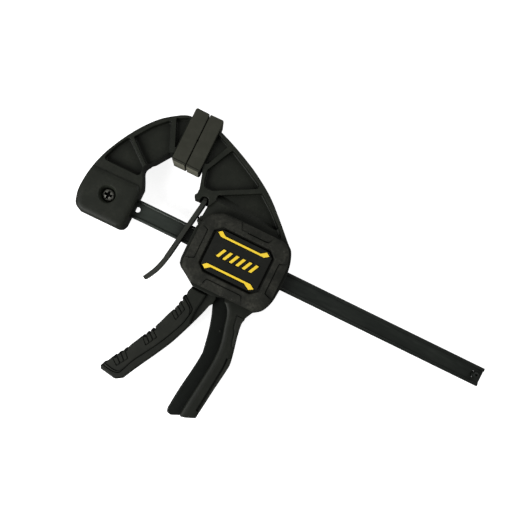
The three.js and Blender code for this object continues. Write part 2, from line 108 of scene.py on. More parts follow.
def outline(*parts):
    """A closed outline: (x, y) is a straight run to that point, a list is a smooth run through its points."""
    points = []
    for part in parts:
        if isinstance(part, tuple):
            points.append(part)
        elif points:
            points += smooth_run([points[-1], *part])
        else:
            points += [part[0], *smooth_run(part)]
    shortest = 0.05
    kept = [p for i, p in enumerate(points) if math.dist(p, points[i - 1]) > shortest]
    area = sum(a[0] * b[1] - b[0] * a[1] for a, b in zip(kept, kept[1:] + kept[:1]))
    return kept if area > 0 else kept[::-1]


def turn_at(points, i):
    """How far the outline turns at a point, in radians, positive to the left."""
    a, b, c = points[i - 1], points[i], points[(i + 1) % len(points)]
    first = math.atan2(b[1] - a[1], b[0] - a[0])
    second = math.atan2(c[1] - b[1], c[0] - b[0])
    return (second - first + math.pi) % (2 * math.pi) - math.pi


def walk(points, i, step, distance):
    """The point at a distance along the outline from point i, and how many points that passes."""
    most_passed = 40
    here, passed = points[i], 0
    while True:
        there = points[(i + step * (passed + 1)) % len(points)]
        length = math.dist(here, there)
        if length >= distance or passed > most_passed:
            share = min(1.0, distance / length)
            return (here[0] + (there[0] - here[0]) * share, here[1] + (there[1] - here[1]) * share), passed
        distance -= length
        here = there
        passed += 1


def rounded(points, radius, sharp=24, steps=5):
    """The outline with its corners rounded. A corner turns by more than sharp, in degrees."""
    most_turn = 2.6
    share_of_edge = 0.48
    corners = {}
    dropped = set()
    for i in range(len(points)):
        turn = turn_at(points, i)
        if abs(turn) > math.radians(sharp):
            reach = radius * math.tan(min(abs(turn), most_turn) / 2)
            edges = [math.dist(points[i], points[k % len(points)]) for k in (i - 1, i + 1)]
            reach = min(reach, share_of_edge * max(edges))
            before, back = walk(points, i, -1, reach)
            after, ahead = walk(points, i, 1, reach)
            dropped |= {(i - k) % len(points) for k in range(back + 1)}
            dropped |= {(i + k) % len(points) for k in range(ahead + 1)}
            corners[i] = [
                tuple((1 - t) ** 2 * a + 2 * t * (1 - t) * b + t * t * c
                      for a, b, c in zip(before, points[i], after))
                for t in (k / steps for k in range(steps + 1))
            ]
    out = []
    for i, point in enumerate(points):
        if i in corners:
            out += corners[i]
        elif i not in dropped:
            out.append(point)
    return out


def crossing(first, second):
    """Where two lines meet, each a point and a direction."""
    (ax, ay), (ux, uy) = first
    (bx, by), (vx, vy) = second
    turn = ux * vy - uy * vx
    parallel = 1e-4
    if abs(turn) < parallel:
        return (ax + bx) / 2, (ay + by) / 2
    along = ((bx - ax) * vy - (by - ay) * vx) / turn
    return ax + ux * along, ay + uy * along


def inset(points, distance):
    """The outline moved inwards, or outwards for a negative distance. Edges that would turn over close up."""
    count = len(points)
    tiny = 1e-6
    sharpest = 0.3
    lines = []
    for i, a in enumerate(points):
        b = points[(i + 1) % count]
        length = math.dist(a, b)
        ux, uy = (b[0] - a[0]) / length, (b[1] - a[1]) / length
        lines.append(((a[0] - uy * distance, a[1] + ux * distance), (ux, uy)))
    moved = []
    for i, (x, y) in enumerate(points):
        (ax, ay), (bx, by) = lines[i - 1][1], lines[i][1]
        scale = distance / max(sharpest, 1 + ax * bx + ay * by)
        moved.append((x - (ay + by) * scale, y + (ax + bx) * scale))

    def advance(i):
        (ux, uy), a, b = lines[i % count][1], moved[i % count], moved[(i + 1) % count]
        return (b[0] - a[0]) * ux + (b[1] - a[1]) * uy

    passes = 12
    for _ in range(passes):
        start = next((i for i in range(count) if advance(i) < -tiny), None)
        if start is None:
            break
        first, last = start, start
        while advance(first - 1) < tiny and last - first < count // 2:
            first -= 1
        while advance(last + 1) < tiny and last - first < count // 2:
            last += 1
        meet = crossing(lines[(first - 1) % count], lines[(last + 1) % count])
        for i in range(first, last + 2):
            moved[i % count] = meet
    return moved


def between(a, b, share):
    """The point at a share of the way from a to b."""
    return a[0] + (b[0] - a[0]) * share, a[1] + (b[1] - a[1]) * share


def stroke(points, width):
    """The outline of a curved line of the given width."""
    run = [points[0], *smooth_run(points)]
    sides = ([], [])
    for i, (x, y) in enumerate(run):
        ax, ay = run[max(i - 1, 0)]
        bx, by = run[min(i + 1, len(run) - 1)]
        length = math.hypot(bx - ax, by - ay)
        dx, dy = (bx - ax) / length * width / 2, (by - ay) / length * width / 2
        sides[0].append((x - dy, y + dx))
        sides[1].append((x + dy, y - dx))
    return sides[1] + sides[0][::-1]


def circle(x, y, radius, count=48):
    return [(x + radius * math.cos(2 * math.pi * k / count),
             y + radius * math.sin(2 * math.pi * k / count)) for k in range(count)]


def shift(points, dx, dy):
    return [(x + dx, y + dy) for x, y in points]


# ---- solids, in millimetres
def make(points, faces, name="piece"):
    """An object from points and faces, with its faces turned outwards."""
    mesh = bpy.data.meshes.new(name)
    mesh.from_pydata(points, [], faces)
    piece = bpy.data.objects.new(name, mesh)
    bpy.context.scene.collection.objects.link(piece)
    edit = bmesh.new()
    edit.from_mesh(mesh)
    bmesh.ops.recalc_face_normals(edit, faces=edit.faces)
    edit.to_mesh(mesh)
    edit.free()
    return piece


def loft(rings):
    """A closed solid through rings of equally many 3-D points, with a flat cap on each end."""
    count = len(rings[0])
    points = [p for ring in rings for p in ring]
    faces = [list(range(count))[::-1], [len(points) - count + k for k in range(count)]]
    for r in range(len(rings) - 1):
        for k in range(count):
            a, b = r * count + k, r * count + (k + 1) % count
            faces.append([a, b, b + count, a + count])
    return make(points, faces)


def stack(layers):
    """A solid through (outline, z) layers."""
    return loft([[(x, y, z) for x, y in points] for points, z in layers])


QUARTER = [math.radians(a) for a in (0, 22.5, 45, 67.5, 90)]


def slab(points, z0, z1, ease, rise=None):
    """A plate whose two rims are rounded, by ease inwards and by rise along Z."""
    rise = ease if rise is None else rise
    low = [(inset(points, ease * (1 - math.sin(a))), z0 + rise * (1 - math.cos(a))) for a in QUARTER]
    high = [(inset(points, ease * (1 - math.cos(a))), z1 - rise * (1 - math.sin(a))) for a in QUARTER]
    return stack(low + high)


def pocket_tool(points, floor, top, fillet=0.8, draft=0.3, flare=0.2):
    """What a moulded pocket takes away: a filleted floor, drafted walls and an eased rim."""
    layers = [(inset(points, fillet * (1 - math.sin(a)) + draft), floor + fillet * (1 - math.cos(a)))
              for a in QUARTER]
    layers += [(inset(points, -flare * (1 - math.cos(a))), top - flare * (1 - math.sin(a))) for a in QUARTER]
    layers.append((inset(points, -flare), top + 8))
    return stack(layers)


def prism(points, z0, z1):
    """A plain cutting tool with straight sides."""
    return stack([(points, z0), (points, z1)])


def through(points):
    """What cuts an outline right through a piece."""
    return prism(points, -CLEAR, CLEAR)


def block(x0, x1, y0, y1, z0, z1):
    return prism([(x0, y0), (x1, y0), (x1, y1), (x0, y1)], z0, z1)


def rod(x, y, radius, z0, z1, count=48):
    return prism(circle(x, y, radius, count), z0, z1)


def lathe(x, y, profile, count=48):
    """A turned piece about a Z axis, through rings given as (radius, z)."""
    return stack([(circle(x, y, radius, count), z) for radius, z in profile])


def mirrored(piece):
    """A copy turned to the other side of the middle plane."""
    copy = bpy.data.objects.new("copy", piece.data.copy())
    bpy.context.scene.collection.objects.link(copy)
    edit = bmesh.new()
    edit.from_mesh(copy.data)
    bmesh.ops.scale(edit, vec=(1, 1, -1), verts=edit.verts)
    bmesh.ops.reverse_faces(edit, faces=edit.faces)
    edit.to_mesh(copy.data)
    edit.free()
    return copy


def flipped(piece):
    """The piece itself turned to the other side of the middle plane."""
    turned = mirrored(piece)
    bpy.data.objects.remove(piece)
    return turned


def combine(piece, tool, operation):
    """Cuts or fuses the tool, which is used up."""
    change = piece.modifiers.new("combine", "BOOLEAN")
    change.operation = operation
    change.solver = "MANIFOLD"
    change.object = tool
    graph = bpy.context.evaluated_depsgraph_get()
    result = bpy.data.meshes.new_from_object(piece.evaluated_get(graph))
    piece.modifiers.clear()
    old = piece.data
    piece.data = result
    result.name = piece.name
    bpy.data.meshes.remove(old)
    used = tool.data
    bpy.data.objects.remove(tool)
    bpy.data.meshes.remove(used)


def cut(piece, *tools):
    for tool in tools:
        combine(piece, tool, "DIFFERENCE")


def fuse(piece, tool):
    combine(piece, tool, "UNION")


def sunk_line(points, width=0.7, depth=LINE_DEPTH):
    """What a line sunk in a grip takes away; its sides lean."""
    wide, narrow = stroke(points, width + 0.3), stroke(points, width)
    top = HALF + PROUD
    return stack([(narrow, top - depth), (wide, top + 0.1), (wide, CLEAR)])


def cut_both(piece, tool):
    """Cuts the same tool on the front and on the rear."""
    cut(piece, tool, mirrored(tool))


def tidy(piece):
    """Removes specks left by the cuts and sets the shading: flats stay flat, rounded rims stay smooth."""
    speck, large = 0.004, 6
    most_turn, most_turn_at_flat = math.radians(34), math.radians(1.5)
    edit = bmesh.new()
    edit.from_mesh(piece.data)
    bmesh.ops.remove_doubles(edit, verts=edit.verts, dist=speck)
    bmesh.ops.dissolve_degenerate(edit, edges=edit.edges, dist=speck)
    for edge in edit.edges:
        turn = edge.calc_face_angle(math.pi) if len(edge.link_faces) == 2 else math.pi
        flat = any(len(face.verts) > 4 and face.calc_area() > large for face in edge.link_faces)
        edge.smooth = turn < (most_turn_at_flat if flat else most_turn)
    for face in edit.faces:
        face.smooth = True
    edit.to_mesh(piece.data)
    edit.free()


def settle(piece, name, material, node=None, body=None, accent=None):
    """Moves a finished piece into the row frame, names it and ties it to its body.

    accent is a second material and a test of a face that takes it."""
    tidy(piece)
    piece.data.materials.clear()
    piece.data.materials.append(material)
    second, takes_it = accent or (None, lambda face: False)
    if second:
        piece.data.materials.append(second)
    for face in piece.data.polygons:
        face.material_index = int(takes_it(face))
    for vertex in piece.data.vertices:
        vertex.co = HOME + vertex.co * MM
    piece.name = name
    piece.data.name = name
    if node:
        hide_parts(node)
    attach(piece, body or BODY_OF[node])


# ---- materials
def socket(tree, kind, **values):
    """A shader node with the given inputs and settings."""
    node = tree.nodes.new(kind)
    for key, value in values.items():
        if key in node.inputs:
            node.inputs[key].default_value = value
        else:
            setattr(node, key, value)
    return node


def surface(name, colour, *, dust=None, dust_share=0.35, rough=0.55, spread=0.1, grain=0.25, grain_depth=0.3,
            mottle=14.0, metal=0.0, gloss=0.15, wear_and_sheen=0.25, wear_and_sheen_colour=None, streak=None, cavity_shade=0.6,
            flecks=0.0, painted_falloff=None):
    """A procedural finish. grain and mottle are sizes in millimetres; streak stretches the mottle along X.

    The painted fall-off of light, when given, is (axis, start, end, share, factor): from start to end (mm
    along the axis), a share of the tone turns into the colour times the factor."""
    material = bpy.data.materials.new(name)
    material.use_nodes = True
    tree = material.node_tree
    link = tree.links.new
    shader = tree.nodes["Principled BSDF"]
    place = tree.nodes.new("ShaderNodeTexCoord")
    stretch = socket(tree, "ShaderNodeMapping")
    stretch.inputs["Scale"].default_value = (1 / streak if streak else 1, 1, 1)
    link(place.outputs["Object"], stretch.inputs["Vector"])

    def noise(size, detail, source, distortion=0.0):
        node = socket(tree, "ShaderNodeTexNoise", Scale=1 / (size * MM), Detail=detail, Distortion=distortion)
        link(source, node.inputs["Vector"])
        return node.outputs["Fac"]

    broad = noise(mottle, 5.0, stretch.outputs["Vector"], 0.4)
    middle = noise(mottle / 6, 4.0, stretch.outputs["Vector"])
    fine = noise(grain, 2.0, place.outputs["Object"])

    def ramp(value, low, high):
        node = socket(tree, "ShaderNodeMapRange", clamp=True)
        node.inputs["From Min"].default_value = low
        node.inputs["From Max"].default_value = high
        link(value, node.inputs["Value"])
        return node.outputs["Result"]

    def mix(share, first, second):
        # of the node's sockets, 0 is the share, 6 and 7 are the colours, and 2 is the mixed colour
        node = socket(tree, "ShaderNodeMix", data_type="RGBA")
        for value, index in ((share, 0), (first, 6), (second, 7)):
            if isinstance(value, (float, int)):
                node.inputs[index].default_value = value
            elif isinstance(value, tuple):
                node.inputs[index].default_value = (*value, 1)
            else:
                link(value, node.inputs[index])
        return node.outputs[2]

    def product(first, second):
        node = socket(tree, "ShaderNodeMath", operation="MULTIPLY")
        for value, entry in ((first, node.inputs[0]), (second, node.inputs[1])):
            if isinstance(value, float):
                entry.default_value = value
            else:
                link(value, entry)
        return node.outputs[0]

    dust = dust or tuple(min(1.0, c * 1.7 + 0.004) for c in colour)
    film = product(product(ramp(broad, 0.38, 0.68), ramp(middle, 0.25, 0.75)), dust_share)
    tone = mix(film, colour, dust)
    # painted light and shade: the tone is lightened (factor above 1) or darkened (factor below 1) along an
    # axis
    if painted_falloff:
        axis, start, end, share, factor = painted_falloff
        split = tree.nodes.new("ShaderNodeSeparateXYZ")
        link(place.outputs["Object"], split.inputs[0])
        home = HOME["XYZ".index(axis)]
        along = ramp(split.outputs[axis], home + start * MM, home + end * MM)
        tone = mix(product(along, share), tone, tuple(c * factor for c in colour))
    # edges are painted lighter: partly wear where handling has polished them, partly a painted highlight
    # where rounded rims catch the light
    eased = socket(tree, "ShaderNodeBevel", samples=4, Radius=0.5 * MM)
    geometry = tree.nodes.new("ShaderNodeNewGeometry")
    bend = socket(tree, "ShaderNodeVectorMath", operation="DOT_PRODUCT")
    link(eased.outputs["Normal"], bend.inputs[0])
    link(geometry.outputs["Normal"], bend.inputs[1])
    edge = product(product(ramp(bend.outputs["Value"], 0.995, 0.88), ramp(middle, 0.2, 0.7)), wear_and_sheen)
    worn_and_lit = wear_and_sheen_colour or tuple(min(1.0, c * 2.2 + 0.01) for c in colour)
    tone = mix(edge, tone, worn_and_lit)
    if flecks:
        scuffs = noise(mottle / 9, 1.0, place.outputs["Object"], 1.2)
        tone = mix(product(ramp(scuffs, 0.70, 0.80), flecks), tone, (0.11, 0.11, 0.10))
    # painted shade: an ambient-occlusion mask darkens the colour in corners, narrow gaps and recesses
    shade = socket(tree, "ShaderNodeAmbientOcclusion", samples=4, Distance=7 * MM)
    gloom = ramp(shade.outputs["AO"], 0.25, 0.95)
    tone = mix(gloom, tuple(c * (1 - cavity_shade) for c in colour), tone)
    link(tone, shader.inputs["Base Color"])

    level = socket(tree, "ShaderNodeMapRange")
    level.inputs["To Min"].default_value = rough - spread
    level.inputs["To Max"].default_value = rough + spread
    link(middle, level.inputs["Value"])
    link(level.outputs["Result"], shader.inputs["Roughness"])
    grain_height = grain * 0.3 * MM
    bump = socket(tree, "ShaderNodeBump", Strength=grain_depth, Distance=grain_height)
    link(fine, bump.inputs["Height"])
    link(bump.outputs["Normal"], shader.inputs["Normal"])
    shader.inputs["Metallic"].default_value = metal
    shader.inputs["Specular IOR Level"].default_value = gloss
    return material


PLASTIC = surface("body_plastic", (0.0105, 0.0120, 0.0088), dust=(0.0185, 0.0200, 0.0150), dust_share=0.9,
                  rough=0.5, grain=0.35, wear_and_sheen=0.05, mottle=9.0, flecks=0.12, cavity_shade=0.5,
                  painted_falloff=("Y", -26, -50, 0.5, 0.5))  # painted shade: the handle is darkened towards its lower end
# painted shade: a darker copy of the body plastic, with a smoother finish, for the handle's sunk web between
# the trigger and the spine
WEB_SHADED_PLASTIC = surface("web_plastic_painted_shade", (0.0050, 0.0062, 0.0050), dust=(0.009, 0.0102, 0.0080), rough=0.45,
                      grain=0.35, gloss=0.1, wear_and_sheen=0.1)
# painted light: a lighter copy of the body plastic, with little painted shade, for the screw's counterbore,
# which lies in shade
BORE_LIT_PLASTIC = surface("bore_plastic_painted_light", (0.0170, 0.0195, 0.0145), dust=(0.026, 0.029, 0.021), rough=0.45,
                       grain=0.35, wear_and_sheen=0.05, cavity_shade=0.1)
PAD = surface("pad_plastic", (0.0252, 0.0260, 0.0188), dust=(0.040, 0.040, 0.0306), dust_share=0.7, rough=0.7,
              grain=0.3, mottle=7.0, wear_and_sheen=0.12)
# painted light: a much lighter copy of the pad plastic for the pads' end faces, standing in for light bounced
# up from the floor
PAD_END_LIT = surface("pad_end_painted_light", (0.125, 0.123, 0.094), dust=(0.150, 0.148, 0.114), dust_share=0.7, rough=0.75,
                  grain=0.3, mottle=7.0, wear_and_sheen=0.12)
GRIP = surface("soft_grip", (0.0098, 0.0110, 0.0082), dust=(0.0185, 0.0195, 0.0150), dust_share=0.9,
               rough=0.68, grain=0.22, mottle=9.0, wear_and_sheen=0.12)
COVER = surface("cover_rubber", (0.0092, 0.0098, 0.0074), dust=(0.0375, 0.0372, 0.0292), dust_share=1.0,
                rough=0.72, grain=0.28, wear_and_sheen=0.2, mottle=9.0, flecks=0.5, cavity_shade=0.45)
BADGE = surface("badge_plastic", (0.0088, 0.0094, 0.0078), rough=0.42, grain=0.2, grain_depth=0.15,
                spread=0.05, cavity_shade=0.7)
YELLOW = surface("yellow_inlay", (0.80, 0.56, 0.035), dust=(0.86, 0.66, 0.10), rough=0.42, grain=0.5,
                 grain_depth=0.1, wear_and_sheen=0.15, wear_and_sheen_colour=(0.75, 0.62, 0.25), cavity_shade=0.1)
BAR = surface("bar_steel", (0.0118, 0.0142, 0.0120), dust=(0.031, 0.035, 0.030), dust_share=0.8, rough=0.38,
              spread=0.14, metal=0.25, gloss=0.25, grain=0.5, grain_depth=0.15, streak=6.0, mottle=9.0,
              wear_and_sheen=0.6, wear_and_sheen_colour=(0.040, 0.044, 0.038),
              painted_falloff=("X", 40, -10, 0.7, 3.0))  # painted light: the bar is made paler from x 40 towards the fixed jaw, where more light falls
LEVER = surface("lever_steel", (0.0310, 0.0330, 0.0280), dust=(0.052, 0.053, 0.045), rough=0.4, metal=0.25,
                grain=0.4, wear_and_sheen=0.3, wear_and_sheen_colour=(0.08, 0.08, 0.07))
# the springs' dark steel, also used as painted shade in the jaw screw's cross recess
DARK_STEEL_AND_SHADE = surface("dark_spring_steel_and_painted_shade", (0.008, 0.008, 0.0075), dust=(0.02, 0.02, 0.018), rough=0.35,
                     metal=0.5, grain=0.3, wear_and_sheen=0.1)
BRIGHT = surface("bright_steel", (0.25, 0.25, 0.22), dust=(0.16, 0.16, 0.145), rough=0.45, metal=0.4,
                 grain=0.3, grain_depth=0.12, mottle=3.0, wear_and_sheen=0.3, wear_and_sheen_colour=(0.34, 0.34, 0.31),
                 cavity_shade=0.3)
MATERIAL_OF = {
    "body_plastic": PLASTIC, "pad_plastic": PAD, "soft_grip": GRIP, "cover_rubber": COVER,
    "badge_plastic": BADGE, "yellow_inlay": YELLOW, "bar_steel": BAR, "lever_steel": LEVER,
    "bright_steel": BRIGHT,
}
for node, cad in frame["nodes"].items():
    cad.data.materials.clear()
    cad.data.materials.append(MATERIAL_OF[SLOT_OF[node]])


# ---- bar
def make_bar():
    low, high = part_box("bar")
    x0, x1 = (low.x - HOME.x) / MM, (high.x - HOME.x) / MM
    side, face, groove, depth = BAR_H / 2, BAR_T / 2, 5.0, 0.8
    half = [(side, 0.0), (side, face - 0.5), (side - 0.15, face - 0.15), (side - 0.5, face),
            (groove + 0.25, face), (groove + 0.05, face - 0.1), (groove - 0.25, face - depth),
            (0.0, face - depth)]
    section = half + [(-y, z) for y, z in half[-2::-1]]
    section += [(y, -z) for y, z in section[-2:0:-1]]
    rings = []
    for x, ease in ((x0, 0.25), (x0 + 0.25, 0), (x1 - 0.25, 0), (x1, 0.25)):
        rings.append([(x, y - math.copysign(min(ease, abs(y)), y), z - math.copysign(min(ease, abs(z)), z))
                      for y, z in section])
    bar = loft(rings)
    cut(bar, rod(SCREW_X, 0, SCREW_HOLE, -BAR_T, BAR_T), rod(STOP_X, 0, 2.3, -BAR_T, BAR_T))
    hole = circle(BAR_HOLE_X, 0, 2.0)
    cut(bar, stack([(inset(hole, -0.6), -3), (inset(hole, -0.5), -1.8), (hole, -1.3), (hole, 1.3),
                    (inset(hole, -0.5), 1.8), (inset(hole, -0.6), 3)]))
    settle(bar, "bar_body", BAR, "bar")
    stop = lathe(STOP_X, 0, [(1.4, -6.5), (1.8, -6.3), (2, -5.9), (2, 5.9), (1.8, 6.3), (1.4, 6.5)])
    cut(stop, rod(STOP_X, 0, 0.9, -8, -5.4, 24), rod(STOP_X, 0, 0.9, 5.4, 8, 24))
    settle(stop, "end_stop", BAR, "bar_end_stop")


# ---- fixed jaw
TONGUE = (48, 74, -6, 6)  # what a pad is pushed over, along Y and Z


def bar_slot(x0, x1):
    """What the bar takes out of a jaw."""
    return block(x0, x1, -BAR_H / 2 - GAP, BAR_H / 2 + GAP, -BAR_T / 2 - GAP, BAR_T / 2 + GAP)


def make_fixed_jaw():
    body = outline(
        (-10.8, 47.5), (-10.8, 75),
        [(-14, 74.5), (-19.8, 71.6), (-29.5, 64.5), (-37.3, 56), (-44.2, 46.2), (-50.5, 35), (-55.9, 22.8),
         (-59.4, 9.5), (-60.6, -3), (-59.7, -9.9), (-57.4, -15.6), (-52, -18.7)],
        (-25, -18.5), [(-22.2, -17), (-20.8, -14)], (-20.8, 15),
        [(-22.8, 19.7), (-26.1, 26.8), (-25.4, 30.9)], (-21.3, 36), (-14.4, 46))
    jaw = slab(inset(rounded(body, 0.8), -0.4), -HALF, HALF, 0.8)
    lower = outline((-54.7, 21.2), (-26.1, 21.2), (-26.1, 29), (-44.4, 43.6), (-50, 33.7))
    upper = outline((-39.8, 47.3), (-42, 44.4), (-25.3, 30.6), (-22.8, 33.1), (-14, 46), (-22.4, 66),
                    (-24.6, 65.6), (-33, 57))
    for pocket, radius in ((lower, 2.6), (upper, 1.6)):
        cut_both(jaw, pocket_tool(rounded(pocket, radius), WEB, HALF))
    nose = outline((-20.6, 69.6), (-11.6, 74), (-11.6, 51), (-12.2, 50))
    cut_both(jaw, pocket_tool(rounded(nose, 0.8), NOSE_WEB, HALF, 0.6))
    panel = rounded(outline(
        [(-58.3, 14.2), (-60.1, 4), (-60, -5), (-57, -15.4), (-51.7, -18.2)],
        (-25, -18.1), [(-22.4, -16.4), (-21.1, -14)], (-21.1, 11.5), [(-22.2, 14), (-24.5, 15.2)]), 3.0)
    half = [(inset(panel, -0.35), 9.6), (inset(panel, -0.2), 10.2), (inset(panel, 0.1), 10.8),
            (inset(panel, 0.7), 11.35), (inset(panel, 1.7), 11.75), (inset(panel, 2.7), 11.95),
            (inset(panel, 3.8), 12.0)]
    fuse(jaw, stack([(p, -z) for p, z in half[::-1]] + half))
    cut(jaw, bar_slot(-52.3, 0))
    fuse(jaw, block(-12, -5, *TONGUE))
    counterbore = lathe(SCREW_X, 0, [
        (4.7, 4.05), (5.3, 8.0), (6.3, 11.5), (6.6, 11.9), (6.8, 12.0), (6.8, CLEAR)], 64)
    cut(jaw, rod(SCREW_X, 0, SCREW_HOLE, -CLEAR, CLEAR), counterbore,
        rod(SCREW_X, 0, 4.94, -CLEAR, -4.05, 6))
    # painted light: the counterbore's walls and floor take the lighter copy of the plastic
    settle(jaw, "fixed_jaw_body", PLASTIC, "fixed_jaw", accent=(BORE_LIT_PLASTIC, lambda face: (
        math.hypot(face.center.x - SCREW_X, face.center.y) < 6.8 and 4.2 < face.center.z < 11.9)))


def pan_screw(x, y, radius, top, depth, shank, tip, side=1):
    """A pan-head screw with a cross recess; side is -1 for one that faces the rear."""
    dome = [(radius * math.sin(math.radians(a)), top - depth * 0.62 * (1 - math.cos(math.radians(a))))
            for a in range(15, 91, 15)]
    profile = [*dome, (radius, top - depth * 0.8), (radius - 0.25, top - depth), (shank, top - depth),
               (shank, tip + 0.5), (shank - 0.5, tip)]
    screw = lathe(x, y, [(r, side * z) for r, z in profile])
    arm, width, sunk = radius * 0.74, radius * 0.25, depth * 0.8
    for ax, ay in ((arm, width), (width, arm)):
        wide = [(x - ax, y - ay), (x + ax, y - ay), (x + ax, y + ay), (x - ax, y + ay)]
        narrow = [between((x, y), corner, 0.7) for corner in wide]
        cut(screw, stack([(narrow, side * (top - sunk)), (wide, side * (top + 0.4))]))
    return screw


def make_fixed_fasteners():
    screw = pan_screw(SCREW_X, 0, 4.3, 8.1, 3.7, 2.5, -9.5)
    # painted shade: the cross recess takes the dark steel
    settle(screw, "jaw_screw", BRIGHT, "fixed_jaw_screw", accent=(DARK_STEEL_AND_SHADE, lambda face: (
        math.hypot(face.center.x - SCREW_X, face.center.y) < 3.2 and 4.6 < face.center.z < 7.1)))
    nut = slab(circle(SCREW_X, 0, 4.62, 6), -8.4, -4.4, 0.35)
    cut(nut, rod(SCREW_X, 0, SCREW_HOLE, -9, -4))
    settle(nut, "jaw_nut", BRIGHT, "fixed_jaw_nut")


# ---- pads
def make_pad(name, node, side):
    """A pad with a slot for the tongue, a line sunk along each side and a notch in the meeting face."""
    near, far, lip = side * 0.28, side * 10.8, side * 0.9
    face = rounded(outline(
        (near, 42), (near + lip / 2, 41.5), (far - lip, 41.5), (far, 42.5),
        (far, 81.1), (far - lip, 82.1), (near + lip / 2, 81.9), (near, 81.2)), 0.4)
    pad = slab(face, -12.5, 12.5, 0.7)
    x0, x1 = sorted((side * 4.7, side * CLEAR))
    y0, y1, z0, z1 = TONGUE
    cut(pad, block(x0, x1, y0 - GAP, y1 + GAP, z0 - GAP, z1 + GAP), rod(0, 61.5, 0.75, -CLEAR, CLEAR, 24))
    cut_both(pad, block(-12, 12, 42.9, 43.5, 12.1, CLEAR))
    # painted light: the end faces take the lighter copy of the pad plastic
    settle(pad, name, PAD, node, accent=(PAD_END_LIT, lambda face: abs(face.normal.y) > 0.9))


# ---- moving jaw
GRIP_UPPER = outline((79, -36.4), (85.1, -36.4), (85.3, -37), [(84.4, -41.5), (85.6, -48.8), (87.7, -58)],
                     (85.1, -58.2), (83.9, -54.5), (82.5, -48.6), (80.5, -45), (79.7, -41))
GRIP_LOWER = outline((86.6, -66), (89, -65.2), [(89.7, -68.3), (89.5, -74), (87.6, -88.5), (85.2, -109.6)],
                     (83.6, -109.8), [(84.7, -99), (86.1, -84), (86.8, -74)])
# grooves along the inserts' front edges: run, width, depth
INSERT_LINES = [
    ([(78.7, -36), (79.4, -41), (80.2, -45.2), (82.2, -48.8), (83.6, -54.6), (84.5, -57.5)], 0.7, 0.6),
    ([(86.1, -66.8), (86.3, -74), (85.4, -84), (83.9, -99), (82.9, -109.6)], 1.4, 1.8),
]


